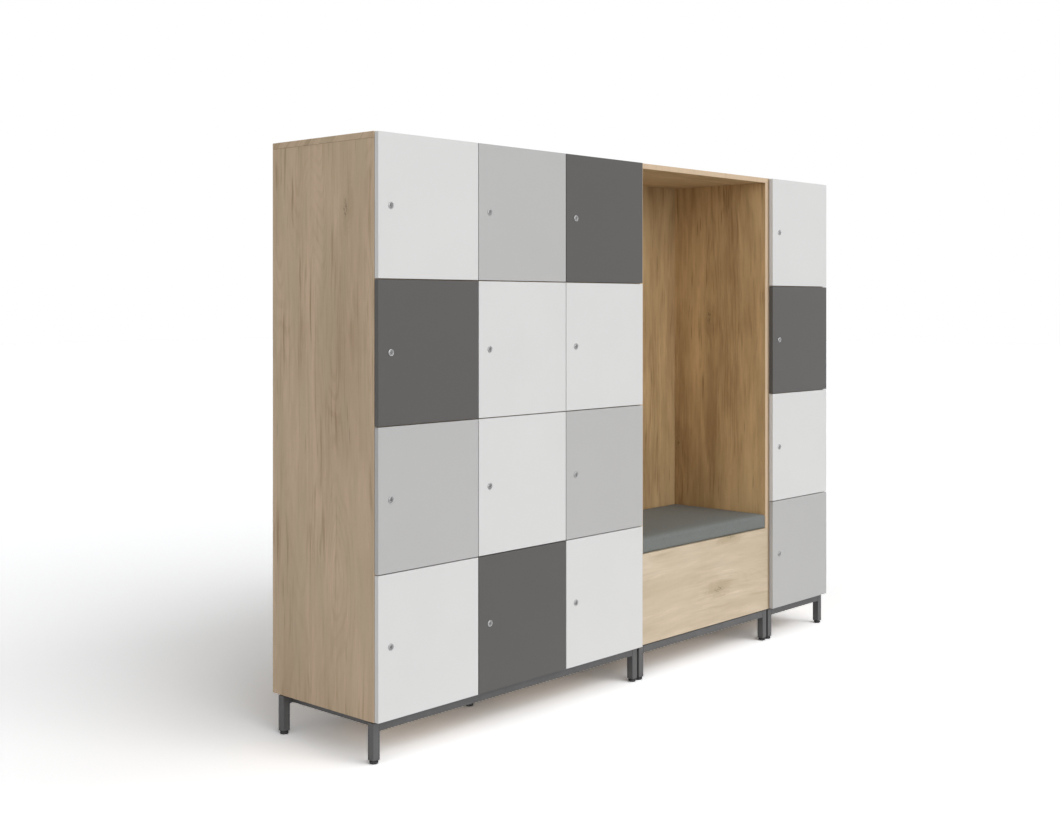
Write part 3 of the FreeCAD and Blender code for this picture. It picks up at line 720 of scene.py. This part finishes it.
base = {
    "tube": 0.025, "inset": 0.003, "frontRail": -0.216, "rearRail": 0.192, "cross": 0.04, "railTop": 0.116,
    "bead": 0.0013, "beadStep": 0.003, "ripple": 0.18, "rippleTurn": 2.1, "footRadius": 0.013, "footTop": 0.01,
    "flangeTop": 0.0115, "insertTop": 0.0315,
}


def weldBead(mesh, centre, axis, half):
    # a thin rippled fillet round the end of a square rail, lying on the face that the rail meets
    outline = roundedBox(-half, half, -half, half, 0.002, 2)
    path, rings = [], []
    for (a, b), (c, d) in zip(outline, outline[1:] + outline[:1]):
        count = max(1, round(hypot(c - a, d - b) / base["beadStep"]))
        path += [(a + (c - a) * k / count, b + (d - b) * k / count) for k in range(count)]
    for i, (a, b) in enumerate(path):
        tangent = (Vector(path[(i + 1) % len(path)]) - Vector(path[i - 1])).normalized()
        radius = base["bead"] * (1 + base["ripple"] * sin(i * base["rippleTurn"]))
        rings.append([mesh.verts.new(placed(a + tangent.y * out, b - tangent.x * out, far, axis, centre))
                      for out, far in circle(0, 0, radius, 6)])
    for first, second in zip(rings, rings[1:] + rings[:1]):
        ringBetween(mesh, first, second)


def weldBeads(x0, x1, middleLeg):
    mesh = bmesh.new()
    tube, half, front, rear = base["tube"], base["tube"] / 2, base["frontRail"], base["rearRail"]
    level, middle = base["railTop"] - half, (x0 + x1) / 2
    for y in (front, rear):
        for x in (x0 + base["inset"] + tube, x1 - base["inset"] - tube):
            weldBead(mesh, (x, y + half, level), "x", half)
    for x in [x0 + base["cross"] + half, x1 - base["cross"] - half] + [middle] * middleLeg:
        for y in (front + tube, rear):
            weldBead(mesh, (x, y, level), "y", half)
    if middleLeg:
        weldBead(mesh, (middle, (front + rear + tube) / 2, level - half), "z", half)
    return outward(mesh)


def footPlaces():
    half, front, rear = base["tube"] / 2, base["frontRail"], base["rearRail"]
    for name, x0, x1, columns in units:
        for x in (x0 + base["inset"] + half, x1 - base["inset"] - half):
            yield from ((x, front + half), (x, rear + half))
        if columns > 1:
            yield (x0 + x1) / 2, (front + rear) / 2 + half


def levellingFeet():
    # each foot: a moulded pad with a waist, a threaded stem, and an insert that closes the tube
    pads, stems, inserts = bmesh.new(), bmesh.new(), bmesh.new()
    radius, top, flangeTop, half = base["footRadius"], base["footTop"], base["flangeTop"], base["tube"] / 2
    side = half - 0.0022
    thread = [(0, top - 0.0005), (0.004, top - 0.0005)]
    for step in range(22):
        far = top + step * 0.0015
        thread += [(0.004, far + 0.0003), (0.0035, far + 0.001)]
    thread += [(0.0034, top + 0.0336), (0.0028, top + 0.034), (0, top + 0.034)]
    for x, y in footPlaces():
        turned(pads, [(0, 0.0002), (radius - 0.004, 0.0), (radius - 0.0016, 0.0003), (radius - 0.0003, 0.0017),
                      (radius, 0.003), (radius, 0.0062), (radius - 0.0006, 0.0074), (radius - 0.0022, 0.008),
                      (0.0088, 0.0083), (0.0084, 0.009), (0.0084, top - 0.0002), (0, top - 0.0001)],
               (x, y, 0), "z")
        turned(stems, thread, (x, y, 0), "z", 16)
        bore = [circle(x, y, 0.0041, 20)]
        stamped(inserts, roundedBox(x - half, x + half, y - half, y + half, 0.002), bore, top + 0.00005,
                flangeTop, "z")
        stamped(inserts, roundedBox(x - side, x + side, y - side, y + side, 0.0012, 3), bore,
                flangeTop - 0.0001, base["insertTop"], "z")
    piece("levelling_foot_pads", outward(pads), [blackPlastic], ["levelling_feet"])
    piece("levelling_foot_stems", outward(stems), [zinc], ["levelling_feet"])
    piece("leg_inserts", outward(inserts), [blackPlastic], ["levelling_feet"], level=False)


for name, x0, x1, columns in units:
    piece(name + "_weld_beads", weldBeads(x0, x1, columns > 1), [graphite], angle=60, level=False)
levellingFeet()
print("feet and welds made")


# Hinge arms on the cabinet walls, strike plates on the board edges, and screws in the back panels

fitting = {
    "plateThick": 0.0025, "plateHalf": 0.022, "plateStart": -0.203, "plateLong": 0.03, "armHalf": 0.008,
    "armDepth": 0.009, "armFront": -0.2195, "armLong": 0.054, "knuckleLong": 0.011, "noseTip": -0.2305,
    "noseHalfWide": 0.0045, "noseHalfHigh": 0.005, "cupIn": 0.024, "strikeThick": 0.0015, "strikeHalf": 0.017,
    "strikeReach": 0.012, "strikeOnEdge": 0.006, "panelScrew": 0.0034, "panelPitch": 0.22,
    "panelRim": 0.009, "plateScrews": 0.0155, "strikeScrews": 0.011,
}


def bays():
    # every locker's left edge of column, bottom level and inner faces
    for name, x0, x1, columns in units:
        for x, left, right in columnWalls(x0, columns):
            for number in range(1, 5):
                yield x, row["top"] - number * row["level"], left, right


def hingeArm(mesh, x, level, wall):
    # mounting plate with rounded ends, the arm with its adjusting screws, the knuckle and the two links
    part = fitting
    face, start = wall - part["plateThick"], part["plateStart"]
    plate = roundedBox(start, start + part["plateLong"], level - part["plateHalf"], level + part["plateHalf"],
                       0.006)
    stamped(mesh, plate, [], wall, face, "x")
    for end in (-1, 1):
        screwHead(mesh, (face, start + part["plateLong"] / 2, level + end * part["plateScrews"]), 0.0036, 0.0012,
                  "x", -1)
    front, half = part["armFront"], part["armHalf"]
    top = face - part["armDepth"]
    slab(mesh, (top, front + 0.0004, level - half), (face + 0.0002, front + part["armLong"], level + half),
         0.0022, 3)
    for far, radius in ((0.026, 0.0034), (0.043, 0.004)):
        screwHead(mesh, (top, front + far, level), radius, 0.001, "x", -1)
    cupX = x + row["column"] - part["cupIn"]
    wide, high = part["noseHalfWide"], part["noseHalfHigh"]
    low, far = min(cupX - wide, top), max(cupX + wide, face)
    slab(mesh, (low, front, level - half), (far, front + part["knuckleLong"], level + half), 0.0016, 3)
    for side in (-1, 1):
        a, b = sorted((cupX + side * wide, cupX + side * (wide - 0.0022)))
        slab(mesh, (a, part["noseTip"], level - high), (b, front + 0.002, level + high), 0.001, 2)
    turned(mesh, [(0, -wide + 0.0002), (0.0019, -wide + 0.0002), (0.0019, wide - 0.0002), (0, wide - 0.0002)],
           (cupX, part["noseTip"] + 0.0035, level), "x", 16)


def strikePlate(mesh, x, level, left):
    part = fitting
    tip, back = x + row["board"] + part["strikeReach"], row["carcass"]
    outline = roundedBox(left - part["strikeOnEdge"], tip, level - part["strikeHalf"], level + part["strikeHalf"],
                         0.0025)
    stamped(mesh, outline, [], back, back - part["strikeThick"])
    for end in (-1, 1):
        screwHead(mesh, (left - 0.003, back - part["strikeThick"], level + end * part["strikeScrews"]),
                  0.0021, 0.0004, "y", -1)


def fittings():
    arms, strikes = bmesh.new(), bmesh.new()
    for x, z, left, right in bays():
        for level in (z + row["gap"] / 2 + door["hingeIn"], z + row["level"] - row["gap"] / 2 - door["hingeIn"]):
            hingeArm(arms, x, level, right)
        strikePlate(strikes, x, z + row["level"] / 2, left)
    piece("hinge_arms_and_plates", outward(arms), [nickel], ["hinge_arms"])
    piece("strike_plates_and_screws", outward(strikes), [zinc], ["strike_plates"])


def panelScrews():
    # round-headed screws along the rims of the back panels
    mesh = bmesh.new()
    face, rim = row["backPanel"] + row["backBoard"], fitting["panelRim"]
    z0, z1 = row["base"] + rim, row["top"] - row["board"] - rim
    for name, x0, x1, columns in units:
        low, high = x0 + row["board"] + rim, x1 - row["board"] - rim
        across, up = round((high - low) / fitting["panelPitch"]), round((z1 - z0) / fitting["panelPitch"])
        places = [(low + (high - low) * i / across, z) for i in range(across + 1) for z in (z0, z1)]
        places += [(x, z0 + (z1 - z0) * i / up) for i in range(1, up) for x in (low, high)]
        for x, z in places:
            screwHead(mesh, (x, face, z), fitting["panelScrew"], 0.0011)
    piece("back_panel_screws", outward(mesh), [zinc])


fittings()
panelScrews()
print("fittings made")


# Seat cushion

cushion = {
    "x0": 0.0182, "x1": 0.7818, "y0": -0.2172, "y1": 0.2105, "z0": 0.4328, "edge": 0.4868,
    "radius": 0.005, "shrink": 0.002, "voxel": 0.0047, "pressure": 4.0, "frames": 20, "cap": 0.0055,
    "corner": 0.016, "cornerPush": 0.31, "drawIn": 0.0018, "bulge": 0.0018, "seamDeep": 0.0008,
    "seamWide": 0.002, "seamTilt": 42, "lip": 0.0003, "pucker": 0.022, "puckerShare": 0.35, "sideZone": 0.03,
    "rimZone": 0.02, "rimDrop": 0.06, "rimSway": 0.45,
}


def cushionBlock():
    # the cut foam: a rounded block, a little small, because the cover swells
    mesh, inset = bmesh.new(), cushion["shrink"]
    slab(mesh, (cushion["x0"] + inset, cushion["y0"] + inset, cushion["z0"]),
         (cushion["x1"] - inset, cushion["y1"] - inset, cushion["edge"] - inset / 2), cushion["radius"], 5)
    return stored(mesh, "seat_cushion_cover")


def applied(data, kind, **settings):
    # a mesh as it comes out of one modifier
    holder = added("seat_cushion_block", data)
    change = holder.modifiers.new("cover", kind)
    for key, value in settings.items():
        setattr(change, key, value)
    made = bpy.data.meshes.new_from_object(holder.evaluated_get(bpy.context.evaluated_depsgraph_get()))
    bpy.data.objects.remove(holder)
    return made


def inflated(data):
    # the cover under the foam's push; how far it may swell is capped softly, so the crown stays round
    cover = added("seat_cushion_cloth", data)
    rest = [v.co.copy() for v in data.vertices]
    cloth = cover.modifiers.new("cover", "CLOTH")
    cloth.settings.quality = 5
    cloth.settings.use_pressure = True
    cloth.settings.uniform_pressure_force = cushion["pressure"]
    cloth.settings.effector_weights.gravity = 0
    cloth.point_cache.frame_start, cloth.point_cache.frame_end = 1, cushion["frames"]
    for step in range(1, cushion["frames"] + 1):
        scene.frame_set(step)
    swollen = bpy.data.meshes.new_from_object(cover.evaluated_get(bpy.context.evaluated_depsgraph_get()))
    moves = [vert.co - start for start, vert in zip(rest, swollen.vertices)]
    widest = max(move.length for move in moves)
    print("cushion swells by", round(widest, 4))
    for start, move, vert in zip(rest, moves, swollen.vertices):
        allowed = cushion["cap"] * (1 - exp(-3 * move.length / widest))
        vert.co = start + move * (allowed / max(move.length, 1e-9))
    bpy.data.objects.remove(cover)
    scene.frame_set(1)
    return swollen


def fitted(data):
    # the sewn corners stand out, the sides pull in at the seams and bulge between them, the rim slopes off to the
    # edge, and the pad fills the bench and lies flat on the seat board
    low, high = [[f(v.co[i] for v in data.vertices) for i in range(2)] for f in (min, max)]
    middle, half = [[(b + way * a) / 2 for a, b in zip(low, high)] for way in (1, -1)]
    goal = [(cushion[a] + cushion[b]) / 2 for a, b in (("x0", "x1"), ("y0", "y1"))]
    wide = [(cushion[b] - cushion[a]) / 2 for a, b in (("x0", "x1"), ("y0", "y1"))]
    zone = cushion["corner"]
    for vert in data.vertices:
        x, y = vert.co.x - middle[0], vert.co.y - middle[1]
        rim = max(0.0, 1 - min(half[0] - abs(x), half[1] - abs(y)) / cushion["rimZone"]) ** 2
        drop = cushion["rimDrop"] * (1 + cushion["rimSway"] * cos(pi * (x / half[0] + 0.3)))
        dx, dy = abs(x) - (half[0] - zone), abs(y) - (half[1] - zone)
        if dx > 0 and dy > 0:
            push = 1 + cushion["cornerPush"] * sin(2 * atan2(dy, dx)) ** 1.5
            x = copysign(half[0] - zone + dx * push, x)
            y = copysign(half[1] - zone + dy * push, y)
        level = (vert.co.z - cushion["z0"]) / (cushion["edge"] - cushion["z0"])
        swell = cushion["bulge"] * max(0.0, sin(pi * min(1.0, max(0.0, level)))) - cushion["drawIn"]
        a, b = min(1.0, abs(x) / half[0]), min(1.0, abs(y) / half[1])
        nearX, nearY = [max(0.0, 1 - (part - abs(v)) / cushion["sideZone"]) ** 2
                        for v, part in ((x, half[0]), (y, half[1]))]
        x += copysign(swell * nearX * (1 - b ** 4), x)
        y += copysign(swell * nearY * (1 - a ** 4), y)
        vert.co.x = goal[0] + x * wide[0] / half[0]
        vert.co.y = goal[1] + y * wide[1] / half[1]
        vert.co.z = cushion["z0"] + max(0.0, vert.co.z - cushion["z0"]) * (1 - drop * rim)


def seamed(data):
    # a sewn seam round the top edge and down the corners: a groove between two low lips, a little puckered
    mesh = bmesh.new()
    mesh.from_mesh(data)
    mesh.normal_update()
    deep, wide, radius = cushion["seamDeep"], cushion["seamWide"], cushion["radius"]
    moves = []
    for vert in mesh.verts:
        n, push = vert.normal, 0.0
        level = hypot(n.x, n.y)
        tilt = atan2(n.z, max(level, 1e-6))
        marks = [(tilt - radians(cushion["seamTilt"])) * radius]
        if level > 0.6:
            marks.append((atan2(abs(n.x), max(abs(n.y), 1e-6)) - radians(45)) * radius)
        ripple = 1 + cushion["puckerShare"] * sin((vert.co.x + vert.co.y) * 2 * pi / cushion["pucker"])
        for away in marks:
            push += deep * ripple * exp(-(away / wide) ** 2)
            push -= cushion["lip"] * exp(-((abs(away) - 1.9 * wide) / wide) ** 2)
        moves.append(n * -push)
    for vert, move in zip(mesh.verts, moves):
        vert.co += move
    return mesh


def makeCushion():
    data = applied(cushionBlock(), "REMESH", mode="VOXEL", voxel_size=cushion["voxel"])
    data = inflated(data)
    fitted(data)
    mesh = seamed(applied(data, "SUBSURF", levels=1))
    for vert in mesh.verts:
        vert.co.z = max(cushion["z0"], vert.co.z)
    made = piece("seat_cushion_cover", mesh, [seatCloth], ["seat_cushion"], angle=180, level=False)


makeCushion()
print("cushion made")


# Floor, light and camera

photoView = {
    "lens": 47.521, "sensor": 36, "shift": -0.10833, "place": (-3.79715, -3.19352, 1.29119), "turn": -47.4635,
}
studioLook = {
    "sky": (0.155, 0.155, 0.155, 1), "paper": (0.88, 0.88, 0.88, 1), "paperSeen": (1.74, 1.75, 1.765, 1),
    "key": {"from": (-0.05, -0.92, 0.38), "strength": 1.94, "softness": 70},
    "fill": {"from": (-0.95, -0.28, 0.2), "strength": 0.85, "softness": 60},
    "side": {"from": (0.4, -0.42, 0.81), "strength": 0.56, "softness": 46},
}


def backgroundShare(finish):
    # 1 where a ray sees the studio itself: straight on, in a reflection or through glass
    paths = finish.node("ShaderNodeLightPath").socket.node.outputs
    straight, mirrored, through = [Signal(finish, paths[kind]) for kind in (
        "Is Camera Ray", "Is Glossy Ray", "Is Transmission Ray")]
    return straight.larger(mirrored).larger(through)


def studio():
    reach = 40
    ground = bpy.data.meshes.new("studio_floor")
    ground.from_pydata([(-reach, -reach, 0), (reach, -reach, 0), (reach, reach, 0), (-reach, reach, 0)], [],
                       [(0, 1, 2, 3)])
    floor = added("studio_floor", ground)
    paper = Finish("studio_paper")
    seen = paper.mix(backgroundShare(paper), studioLook["paper"], studioLook["paperSeen"])
    matt = paper.node("ShaderNodeBsdfDiffuse", sockets={"Color": seen})
    paper.feed(paper.tree.nodes["Material Output"].inputs["Surface"], matt)
    ground.materials.append(paper.material)

    world = bpy.data.worlds.new("studio")
    scene.world = world
    world.use_nodes = True
    sky = Finish("studio_sky", world.node_tree)
    glow = sky.mix(backgroundShare(sky), studioLook["sky"], (1, 1, 1, 1))
    sky.feed(sky.tree.nodes["Background"].inputs["Color"], glow)

    for name in ("key", "fill", "side"):
        look = studioLook[name]
        lamp = bpy.data.lights.new("soft_" + name, "SUN")
        lamp.energy, lamp.angle = look["strength"], radians(look["softness"])
        light = added("soft_" + name, lamp)
        light.rotation_euler = Vector(look["from"]).to_track_quat("Z", "Y").to_euler()


def photoCamera():
    lens = bpy.data.cameras.new("camera")
    lens.lens, lens.sensor_width, lens.shift_y = photoView["lens"], photoView["sensor"], photoView["shift"]
    camera = added("camera", lens)
    camera.location = photoView["place"]
    camera.rotation_euler = (radians(90), 0, radians(photoView["turn"]))
    bpy.context.scene.camera = camera


studio()
photoCamera()
scene.view_settings.view_transform = "Standard"
